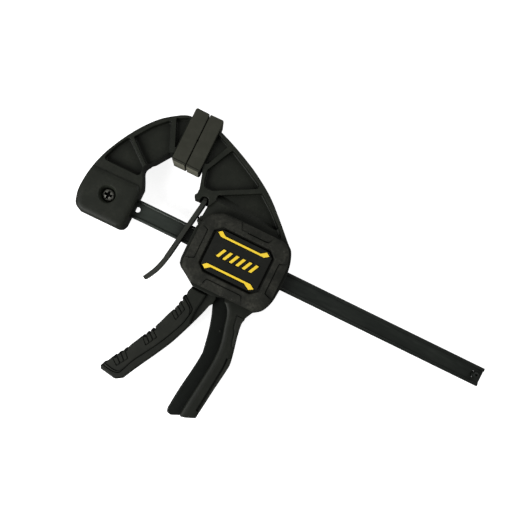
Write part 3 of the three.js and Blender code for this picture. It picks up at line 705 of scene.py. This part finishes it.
def make_moving_jaw():
    arm = outline(
        (10.8, 47), (10.8, 75.2),
        [(19.4, 72), (29.3, 67.9), (39, 63.4), (48.8, 58.2), (62.7, 49.2), (75.4, 38), (89.1, 24.7),
         (93.1, 21.1), (96, 14.7), (97.7, 6.8), (98.05, 0), (97.9, -8), (96.8, -17.9), (93.4, -25.8),
         (88, -30.1)],
        (80, -31.9), (41.5, -31.9), [(37.9, -29.4), (32, -25.5), (28.1, -23.1), (26.1, -20.7)],
        (25.4, -16.7), (25.3, 7), (26.1, 9.6), (24.7, 10.4), (24.7, 15.2), (25.9, 16), (26.4, 24.5),
        [(25.8, 26.2), (24.9, 28.2), (22.8, 29), (20.7, 28.2), (19.8, 26.2)],
        (19.6, 25.1), (15.5, 24.8), (14.6, 26.8), (15.8, 28.6), (15.8, 32), [(14.5, 36.6), (13, 41.7)])
    jaw = slab(rounded(arm, 0.5, 30, 3), -HALF, HALF, 0.6)
    first = outline((25.4, 66.8), (23.6, 64), (14.9, 46.1), (16.4, 38.5), (18.2, 34.3), (24.2, 34.3),
                    (52.9, 49.9), (52.9, 53), (38, 60.6))
    second = outline((29.6, 33.6), (57.4, 48.5), (69, 40), (78.3, 31.8), (77.8, 29.4), (29.6, 29.4))
    for pocket, radius in ((first, 1.8), (second, 1.3)):
        cut_both(jaw, pocket_tool(rounded(pocket, radius), WEB, HALF))
    nose = outline((11.3, 72.4), (21.3, 68.2), (13.6, 50.4), (11.3, 49))
    cut_both(jaw, pocket_tool(rounded(nose, 0.8), NOSE_WEB, HALF, 0.6))
    fuse(jaw, block(5, 12, *TONGUE))
    # the second pocket's floor rises softly towards the cover, less and less to the right
    for side in (1, -1):
        fuse(jaw, loft([
            [(x, 28.5, side * 4), (x, far, side * 4), (x, far, side * WEB), (x, 29.2, side * top),
             (x, 28.5, side * top)]
            for x, far, top in ((29, 35.5, 9.25), (79, 31.3, 6.75))]))
    # the lower step between the ribs and the cover, which runs out softly towards the lever's notch
    apron = outline((31, 32), (77.6, 32), (80.2, 30), [(82.2, 27), (82.6, 25)], (82, 23), (43.4, 23),
                    [(37.4, 21.5), (31.2, 17.3), (28.6, 12.2)], (23, 12.2), (23, 21.6),
                    [(27, 24), (29.4, 28.4)])
    for side in (1, -1):
        cut(jaw, stack([(inset(apron, inward), side * level) for inward, level in (
            (1.8, 8.8), (1.2, 8.95), (0.6, 9.4), (0.2, 9.9), (0, 10.4), (-0.3, 11), (-0.3, CLEAR))]))
    spine = outline(
        (64, -24), [(63.3, -31.7), (67.2, -32.4), (70.6, -35.8), (73, -41.2), (74, -45.6), (77.4, -59.2),
                    (78.1, -72), (76.9, -86.1), (74.7, -105.6), (73.5, -118.3)],
        (77.7, -117.4), (84.8, -114.4),
        [(85, -110.2), (87.6, -88.5), (89.5, -74), (89.6, -68.3), (87.8, -59), (85.6, -48.8), (84.5, -41.5),
         (85.1, -36), (88, -30.1)], (88, -24))
    fuse(jaw, slab(rounded(spine, 1.2), -HALF, HALF, 3.4, 1.0))
    # room for the trigger's cheeks, an arc about the trigger's pin
    swing, reach = [math.radians(a) for a in range(-102, -66, 3)], 47.4
    room = outline((67.5, -34), (38, -34), *[
        (PIVOT[0] + reach * math.cos(a), PIVOT[1] + reach * math.sin(a)) for a in swing])
    cut(jaw, through(room))
    window = outline((37.5, 21), (37.5, -18), (44, -24), (74, -24), (84, -16), (84, 21))
    slot = outline((41.9, -34), (42.6, -20), (76, -20), (76, -31), (73.5, -41.5), (66, -34))
    cut(jaw, through(window), prism(slot, -8, 8))
    web = outline(
        (66, -24), (58.4, -24.5), (59.6, -33),
        [(60.3, -37.5), (63.2, -45.3), (66.1, -55.8), (69.1, -71.8)],
        [(68.7, -77.7), (67.4, -88.7), (65.4, -102.7), (63.9, -118.4)],
        [(64.7, -120.8), (68, -121.7)], (75, -118.6), (82, -113), (82, -40), (74, -24))
    fuse(jaw, slab(rounded(web, 0.6), -HANDLE_WEB, HANDLE_WEB, 0.9, 0.6))
    # a small boss on the web
    fuse(jaw, slab(circle(73.6, -52.2, 1.0, 24), -HANDLE_WEB - 0.4, HANDLE_WEB + 0.4, 0.3))
    # a thin wall closes the lever's notch at the rear
    fuse(jaw, block(18.9, 27, 24.95, 29.6, 0.2 - HALF, -8.3))
    cut(jaw, bar_slot(0, 120))
    for x, y in COVER_SCREWS:
        cut(jaw, rod(x, y, COVER_SCREW_HOLE, -CLEAR, CLEAR, 24))
    for insert in (GRIP_UPPER, GRIP_LOWER):
        seat = through(insert)
        cut(seat, prism(shift(insert, -1.9, 0), 1.5 - HALF, HALF - 1.5))
        cut(jaw, seat)
    for line, width, depth in INSERT_LINES:
        cut_both(jaw, sunk_line(line, width, depth))
    # painted shade: the handle's sunk front web takes the darker copy of the plastic
    settle(jaw, "moving_jaw_body", PLASTIC, "moving_jaw", accent=(WEB_SHADED_PLASTIC, lambda face: (
        face.center.y < -30 and abs(face.center.z) < HANDLE_WEB + 0.2 and face.center.x < 82)))
    for name, insert, node, ease in (("grip_insert_upper", GRIP_UPPER, "handle_grip_upper", 0.8),
                                     ("grip_insert_lower", GRIP_LOWER, "handle_grip_lower", 0.4)):
        piece = slab(inset(insert, 0.12), -HALF - PROUD, HALF + PROUD, ease, 0.8)
        for back in (1.6, 3.1, 4.6):
            cut(piece, prism(shift(insert, -back, 0), 1.2 - HALF, HALF - 1.2))
        settle(piece, name, GRIP, node)


# ---- covers and badges
COVER_OUTLINE = outline(
    (42.8, 24.1), [(37, 22.7), (30.3, 18.3), (27.6, 12.5)], (27.4, -17.5), [(28.4, -21.5), (31.4, -24.6)],
    (38.9, -29.3), (87, -29.3), [(92.6, -25.6), (95.3, -19)], (95.4, 9),
    [(92.8, 17), (89, 22.2), (84.5, 24.1)])
RECESS_OUTLINE = outline((43.2, 14.7), (38.1, 10), (38.1, -14.8), (43.2, -19.4), (79.6, -19.4), (84.8, -14.8),
                         (84.8, 10), (79.6, 14.7))
BADGE_OUTLINE = outline((43.6, 12.9), (39.9, 9.6), (39.9, -14.4), (43.6, -17.7), (79.2, -17.7), (82.9, -14.4),
                        (82.9, 9.6), (79.2, 12.9))
STRIPE_TOP = outline((40.7, 10.2), (43.6, 12.4), (47.2, 9.75), (74.2, 9.75), (77.9, 12.4), (81.3, 10.2),
                     (77.6, 7.7), (44.4, 7.7))
STRIPE_BOTTOM = outline((40.7, -15), (43.4, -12.4), (77.2, -12.4), (81.3, -15), (77.6, -17.2), (72.9, -14.5),
                        (47.2, -14.5), (43.6, -17.2))
# the cover's four flats: outline, where the fall starts, fall per millimetre along X and Y
FLATS = [
    ([(53.8, 21.4), (55.3, 18.3), (75.5, 18.3), (77.4, 21.2), (79.5, 26), (51.5, 26)], (0, 18.3), (0, -0.16)),
    ([(76.5, -25.4), (74.5, -22.8), (48.5, -22.8), (46.6, -27.4), (45.5, -31), (78.5, -31)], (0, -22.8),
     (0, 0.16)),
    ([(29.3, -14.9), (33.9, -12.9), (33.9, 8.2), (29.3, 10.2), (25.5, 12), (25.5, -16.5)], (33.9, 0),
     (0.16, 0)),
    ([(93.6, 10.2), (89, 8.2), (89, -13.9), (93.6, -15.9), (97.5, -17.5), (97.5, 12)], (89, 0), (-0.16, 0)),
]
# sharp lines sunk along the flats' edges
FLAT_LINES = [
    [(60, 18.3), (66, 18.3), (74.4, 18.3), (76.2, 19.2), (77.6, 22)],
    [(46.8, -26.4), (47.9, -23.8), (49.2, -22.8), (61, -22.8), (73.9, -22.8), (75.2, -23.7), (76.3, -26.2)],
    [(29.6, 10), (33, 8.8), (33.9, 7.4), (33.9, -2), (33.9, -12.2), (33.1, -13.4), (29.8, -14.8)],
    [(93.3, 10), (89.8, 8.8), (89, 7.4), (89, -3), (89, -13.2), (89.7, -14.4), (93.2, -15.8)],
]
MARK_BARS, MARK_X, MARK_PITCH, MARK_WIDTH, MARK_LEAN = 6, 46.4, 5.0, 2.9, 3.4
MARK_Y = (-5.8, 1.2)


def flat_tool(points, start, fall):
    """A shallow sloping flat on the cover's rim."""
    def height(x, y):
        return COVER_OUT - 0.6 + (x - start[0]) * fall[0] + (y - start[1]) * fall[1]
    shape = outline(*points)
    wide = inset(shape, -0.2)
    return loft([
        [(x, y, height(x, y)) for x, y in shape],
        [(x, y, height(x, y) + 0.25) for x, y in wide],
        [(x, y, COVER_OUT + 5) for x, y in wide],
    ])


def cover_body():
    """A front cover without its screw holes."""
    rim = rounded(COVER_OUTLINE, 3.0)
    layers = [(inset(rim, 0.35), COVER_IN), (rim, COVER_IN + 0.35)]
    layers += [(inset(rim, 2.7 * (1 - math.cos(a))), COVER_OUT - 2.5 * (1 - math.sin(a))) for a in QUARTER]
    cover = stack(layers)
    ledge = rounded(RECESS_OUTLINE, 1.2)
    cut(cover, pocket_tool(ledge, RECESS, COVER_OUT, 0.3, 0.1, 0.7))
    moat = stack([(inset(ledge, 0.75), 13.9), (inset(ledge, 0.6), 16)])
    cut(moat, prism(inset(BADGE_OUTLINE, 0.3), 10, CLEAR))
    cut(cover, moat)
    for points, start, fall in FLATS:
        cut(cover, flat_tool(points, start, fall))
    for line in FLAT_LINES:
        wide, narrow = stroke(line, 0.95), stroke(line, 0.6)
        cut(cover, stack([(narrow, COVER_OUT - 1.2), (wide, COVER_OUT - 0.3), (wide, COVER_OUT + 6)]))
    hollow = outline((43, 20), (32, 13), (32, -15), (41, -25.5), (86, -25.5), (91.5, -16), (91.5, 8),
                     (84, 20))
    cut(cover, prism(hollow, 5, 12.4))
    fuse(cover, rod(*PIVOT, 4.6, COVER_IN, 13))
    for x, y in COVER_SCREWS:
        fuse(cover, rod(x, y, 3.2, COVER_IN, 13, 24))
    cut(cover, rod(*PIVOT, PIN_HOLE, 5, 12.8))
    return cover


def mark_bar(k):
    """The outline of one of the badge's slanted bars."""
    x, (low, high) = MARK_X + MARK_PITCH * k, MARK_Y
    return outline((x, low), (x + MARK_WIDTH, low), (x + MARK_WIDTH + MARK_LEAN, high), (x + MARK_LEAN, high))


def make_covers():
    front, rear = cover_body(), flipped(cover_body())
    for x, y in COVER_SCREWS:
        cut(front, rod(x, y, COVER_SCREW_HOLE, 5, 14.4, 24))
        cut(rear, rod(x, y, COVER_SCREW_HOLE, -CLEAR, -5, 24),
            lathe(x, y, [(3.1, -14.3), (3.1, -16), (3.5, -16.9), (4.2, -20)]))
    settle(front, "cover_front", COVER, "front_cover")
    settle(rear, "cover_rear", COVER, "rear_cover")
    for side in ("front", "rear"):
        flip = side == "rear"
        badge = slab(rounded(BADGE_OUTLINE, 0.8), 14.8, 16.2, 0.3)
        inlays = [("stripe_top", STRIPE_TOP, f"{side}_stripe_top"),
                  ("stripe_bottom", STRIPE_BOTTOM, f"{side}_stripe_bottom")]
        inlays += [(f"mark_{k + 1}", mark_bar(k), None) for k in range(MARK_BARS)]
        for part, points, node in inlays:
            cut(badge, prism(inset(points, -0.3), 15.3, CLEAR))
            raised = rounded(inset(points, 0.28), 0.25, steps=3)
            inlay = slab(raised, 15.5 if node is None else 15.6, 16.4, 0.12)
            name = f"{side}_{part}_inlay"
            if flip:
                inlay = flipped(inlay)
            settle(inlay, name, YELLOW, node, body="slider")
        if flip:
            badge = flipped(badge)
        settle(badge, f"badge_{side}", BADGE, f"{side}_badge")
    for k, (x, y) in enumerate(COVER_SCREWS):
        screw = pan_screw(x, y, 2.8, 16.2, 1.6, 1.5, -14.1, side=-1)
        settle(screw, f"cover_fixing_{k + 1}", BRIGHT, f"cover_screw_{k + 1}")


# ---- trigger
SOFT_OUTLINE = outline(
    (40.3, -39.6), [(44.9, -43), (48.4, -45.9), (49, -48.2), (48.7, -51.2), (48.1, -54), (46.8, -59.4),
                    (43.6, -67), (38.8, -77.2), (32, -89), (27.1, -97.3), (23.9, -105), (22.1, -108.9),
                    (18.8, -110.2), (14.8, -110.1), (10.4, -109.4)],
    (9.7, -108.2),
    [(13.2, -101.5), (18.8, -92.4), (25.5, -79), (30.8, -68.5), (34.6, -57.8), (37.4, -50.9), (38.8, -43)],
    (38.8, -40.6))
# lines sunk in the grip next to its two ends
GRIP_LINES = [
    [(36, -38.2), (40, -41.4), (43.2, -43.8), (46.1, -45.9), (47.6, -47.9), (48.2, -50.8)],
    [(6, -106.4), (9.5, -107.2), (12.3, -107.8), (16.2, -108.5), (19.7, -108.5), (21.7, -107.4),
     (22.9, -105.4)],
]
# the three groups of ridges: front edge's lower end, back corners, front edge's upper end
RIDGE_GROUPS = [
    ((36.2, -54.3), (41.5, -58.6), (44.2, -48.7), (38.9, -45)),
    ((26, -79.5), (30.4, -83.8), (35.1, -75), (30.5, -71.6)),
    ((13.4, -101.9), (18.2, -105.6), (23.3, -97.4), (19, -92.9)),
]
RIDGES_IN_GROUP = 3
NOTCHES = (0.19, 0.62, 1.07)  # in the front edge, as shares of the way up a group


def ridge_tools(group):
    """What sinks the ground round the ridges on both sides and notches the front edge between them."""
    low, low_back, high_back, high = group
    front = between(low, low_back, -0.8), between(high, high_back, -0.8)
    ground = rounded(outline(front[0], low_back, high_back, front[1]), 0.7)
    sunk = stack([(inset(ground, 0.1), HALF + PROUD - LINE_DEPTH), (inset(ground, -0.25), HALF + 0.3),
                  (inset(ground, -0.25), CLEAR)])
    for k in range(RIDGES_IN_GROUP):
        first, second = k / RIDGES_IN_GROUP, (k + 1) / RIDGES_IN_GROUP
        ridge = outline(between(front[0], front[1], first), between(low_back, high_back, first),
                        between(low_back, high_back, second), between(front[0], front[1], second))
        ridge = rounded(inset(ridge, 0.42), 0.9)
        cut(sunk, stack([
            (inset(ridge, -0.1), 5), (inset(ridge, -0.05), HALF - 0.1), (inset(ridge, 0.35), HALF + 0.3),
            (inset(ridge, 0.35), FAR)]))
    tools = [mirrored(sunk), sunk]
    length = math.dist(low, high)
    ux, uy = (high[0] - low[0]) / length, (high[1] - low[1]) / length
    for share in NOTCHES:
        x, y = between(low, high, share)
        # u runs up the front edge, and v, a quarter turn to the right, runs into the grip
        notch = outline(*[(x + ux * u + uy * v, y + uy * u - ux * v)
                          for u, v in ((-2, -1.2), (-1.5, 0), (-0.3, 1), (0.3, 1), (1.5, 0), (2, -1.2))])
        tools.append(through(notch))
    return tools


def make_trigger():
    # the foot and the front edge, up to the step above the grip
    front_edge = (
        [(21.3, -114.4), (18.8, -114.2)], (8.9, -112.5), (7.8, -109.9),
        [(9.8, -108.1), (13.2, -101.5), (18.8, -92.4), (25.5, -79), (30.8, -68.5), (34.6, -57.8),
         (37.4, -50.9), (38.9, -43)],
        (38.8, -40.5), (40.5, -39.2), (40.3, -36.3))
    strip = outline(
        [(43, 15), (45, 19.3), (49, 20.6), (53.2, 19.2), (55, 15)], (55, 9.5),
        [(56.9, 1.3), (57.7, -1), (56.9, -3.2)],
        (51.5, -13), (54, -22), (60.6, -32), (60.2, -36.8), (58.4, -39.2),
        [(56.4, -46.2), (51.8, -59.3), (46.5, -72.6), (40.1, -85.3), (32.3, -99.5), (26.3, -111.4)],
        *front_edge, (42.2, -32), (43.4, -10))
    cheek = outline(
        (41.6, -32.2), [(45.4, -32.6), (49.3, -32.8), (53.3, -32.6)],
        [(52.5, -39.2), (51.5, -46), (51.5, -53.9), (52.5, -57.2)],
        [(46.5, -72.6), (40.1, -85.3), (32.3, -99.5), (26.3, -111.4)], *front_edge)
    body = slab(rounded(strip, 0.8), -7.7, 7.7, 0.8)
    fuse(body, slab(rounded(cheek, 0.8), -HALF, HALF, 1.5))
    seat = through(inset(SOFT_OUTLINE, -GAP))
    cut(seat, prism(shift(SOFT_OUTLINE, 1.9, -0.4), 1.3 - HALF, HALF - 1.3))
    cut(body, seat)
    channel = outline(
        (49.5, -9), (47.5, -24), (46, -40), [(44.5, -50), (41.3, -62), (35.5, -76), (28, -90), (21, -103)],
        (34, -112), (80, -60), (80, 9), (30, 9), (30, -9))
    cut(body, prism(channel, -HANDLE_WEB - 0.6, HANDLE_WEB + 0.6), rod(*PIVOT, PIN_HOLE, -CLEAR, CLEAR))
    settle(body, "trigger_body", PLASTIC, "trigger")
    grip = slab(rounded(SOFT_OUTLINE, 0.8), -HALF - PROUD, HALF + PROUD, 1.3)
    for dx, dy in ((1.6, -0.4), (4.6, -0.4), (2.4, 0.8), (2.4, -1.6), (3.6, 1.6), (3.1, -2.4)):
        cut(grip, prism(shift(SOFT_OUTLINE, dx, dy), 1.3 - HALF, HALF - 1.3))
    for group in RIDGE_GROUPS:
        cut(grip, *ridge_tools(group))
    for line in GRIP_LINES:
        cut_both(grip, sunk_line(line))
    settle(grip, "trigger_overmould", GRIP, "trigger_grip")


# ---- release lever and springs
def make_lever():
    x, y = LEVER_PIVOT
    shape = outline(
        (x - 1.35, 26.6), [(14.9, -17.2), (13.6, -24.4), (11.4, -31.7), (8.2, -38.2), (6.6, -41.1)],
        (9.3, -42.5), [(11.2, -39.6), (14.5, -32.9), (16.8, -25.1), (18.2, -17.4)], (x + 2.0, 26.6))
    lever = slab(rounded(shape, 0.4), -8, 8, 0.35)
    fuse(lever, slab(circle(x, y, 1.5), -7.7, 7.7, 0.3))
    c, s = math.cos(math.radians(-LEVER_TILT)), math.sin(math.radians(-LEVER_TILT))
    slot = [(18.7 + px * c - py * s, 0.1 + px * s + py * c)
            for px, py in ((-4, -7.9), (4, -7.9), (4, 7.8), (-4, 7.8))]
    cut(lever, prism(slot, -BAR_T / 2 - GAP, BAR_T / 2 + GAP))
    # the tail is narrower, with sloping shoulders
    tail = [(0, -50), (30, -50), (30, -22), (0, -22)]
    for side in (1, -1):
        cut(lever, stack([(tail, side * 5.5), (shift(tail, 0, 2.5), side * 9), (tail, side * CLEAR)]))
    settle(lever, "lever_blade", LEVER, "release_lever")


def coil(x0, x1, y, radius, wire, turns, per_turn=36, sides=12):
    """A coil spring of even pitch along X, with open ends."""
    steps = round(turns * per_turn)
    length = x1 - x0 - wire
    rings = []
    for i in range(steps + 1):
        t = i / steps
        a = 2 * math.pi * turns * t
        run = 2 * math.pi * turns * radius
        centre = Vector((x0 + wire / 2 + length * t, y + radius * math.cos(a), radius * math.sin(a)))
        out = Vector((0, math.cos(a), math.sin(a)))
        along = Vector((length / run, -math.sin(a), math.cos(a))).normalized()
        across = along.cross(out)
        rings.append([tuple(centre + wire / 2 * (out * math.cos(b) + across * math.sin(b)))
                      for b in (2 * math.pi * k / sides for k in range(sides))])
    return loft(rings)


def make_springs():
    for name, node, joint, keep, spec in (
        ("drive_coil", "drive_spring", "drive_slide", 0.80, (64.7, 83.6, 0, 8.5, 1.2, 4.5)),
        ("release_coil", "release_spring", "release_lever_pivot", 0.78, (23.2, 30.7, 13.1, 1.6, 0.9, 6)),
    ):
        spring = coil(*spec)
        settle(spring, name, DARK_STEEL_AND_SHADE, node)
        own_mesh(spring)


def dress_hidden():
    """The drive plates and the trigger pin keep their CAD shapes, with eased edges."""
    for node in ("drive_plate_1", "drive_plate_2", "trigger_pin"):
        ease = frame["nodes"][node].modifiers.new("ease", "BEVEL")
        ease.width = 0.25 * MM
        ease.segments = 2
        ease.limit_method = "ANGLE"


make_bar()
make_fixed_jaw()
make_fixed_fasteners()
make_pad("pad_fixed", "fixed_jaw_pad", -1)
make_pad("pad_moving", "moving_jaw_pad", 1)
make_moving_jaw()
make_covers()
make_trigger()
make_lever()
make_springs()
dress_hidden()


# ---- floor, light and camera
def make_stage():
    size, depth = 40.0, 0.0005
    floor = make([(-size, -size, 0), (size, -size, 0), (size, size, 0), (-size, size, 0)], [[0, 1, 2, 3]],
                 "floor")
    paper = bpy.data.materials.new("floor_paper")
    paper.use_nodes = True
    shader = paper.node_tree.nodes["Principled BSDF"]
    shader.inputs["Base Color"].default_value = (0.6, 0.6, 0.6, 1)
    shader.inputs["Roughness"].default_value = 0.9
    shader.inputs["Specular IOR Level"].default_value = 0.1
    shader.inputs["Emission Color"].default_value = (1, 1, 1, 1)
    shader.inputs["Emission Strength"].default_value = 0.85
    floor.data.materials.append(paper)
    floor.location = (0, 0, -depth)
    # the glowing paper stays white without lighting the clamp's sides from below
    floor.visible_diffuse = False
    floor.visible_glossy = False

    world = bpy.data.worlds.new("studio")
    bpy.context.scene.world = world
    world.use_nodes = True
    tree = world.node_tree
    heading = tree.nodes.new("ShaderNodeTexCoord")
    split = tree.nodes.new("ShaderNodeSeparateXYZ")
    # from straight down at 0 to straight up at 1: bright at the horizon, dimmer overhead, dimmest below
    sky = tree.nodes.new("ShaderNodeValToRGB")
    stops = sky.color_ramp.elements
    levels = ((0, 0.06), (0.3, 0.2), (0.49, 0.6), (0.502, 1.0), (0.56, 1.0), (0.72, 0.22))
    for k, (height, strength) in enumerate(levels):
        stop = stops[k] if k < 2 else stops.new(height)
        stop.position = height
        stop.color = (strength, strength, strength, 1)
    half_up = socket(tree, "ShaderNodeMath", operation="MULTIPLY_ADD")
    half_up.inputs[1].default_value = 0.5
    half_up.inputs[2].default_value = 0.5
    tree.links.new(heading.outputs["Generated"], split.inputs[0])
    tree.links.new(split.outputs["Z"], half_up.inputs[0])
    tree.links.new(half_up.outputs[0], sky.inputs["Fac"])
    tree.links.new(sky.outputs["Color"], tree.nodes["Background"].inputs["Color"])
    tree.nodes["Background"].inputs["Strength"].default_value = 1.0
    for name, place, power, width in (
        ("key", (-0.46, -0.44, 0.5), 7.5, 0.45),
        ("fill", (0.35, 0.75, 0.7), 3.5, 0.7),
    ):
        lamp = bpy.data.lights.new(name, "AREA")
        lamp.energy = power
        lamp.size = width
        light = bpy.data.objects.new(name, lamp)
        light.location = place
        light.visible_camera = False
        light.rotation_euler = Vector(place).to_track_quat("Z", "Y").to_euler()
        bpy.context.scene.collection.objects.link(light)


def make_camera():
    lens = bpy.data.cameras.new("camera")
    lens.sensor_width = 36
    lens.lens = 42.45
    lens.shift_x = 0.114
    lens.shift_y = 0.0121
    camera = bpy.data.objects.new("camera", lens)
    camera.location = (-0.0530, 0.00105, 0.467)
    camera.rotation_euler = (0, 0, math.radians(26.1))
    bpy.context.scene.collection.objects.link(camera)
    bpy.context.scene.camera = camera


make_stage()
make_camera()
bpy.context.scene.view_settings.view_transform = "Standard"
bpy.context.view_layer.update()
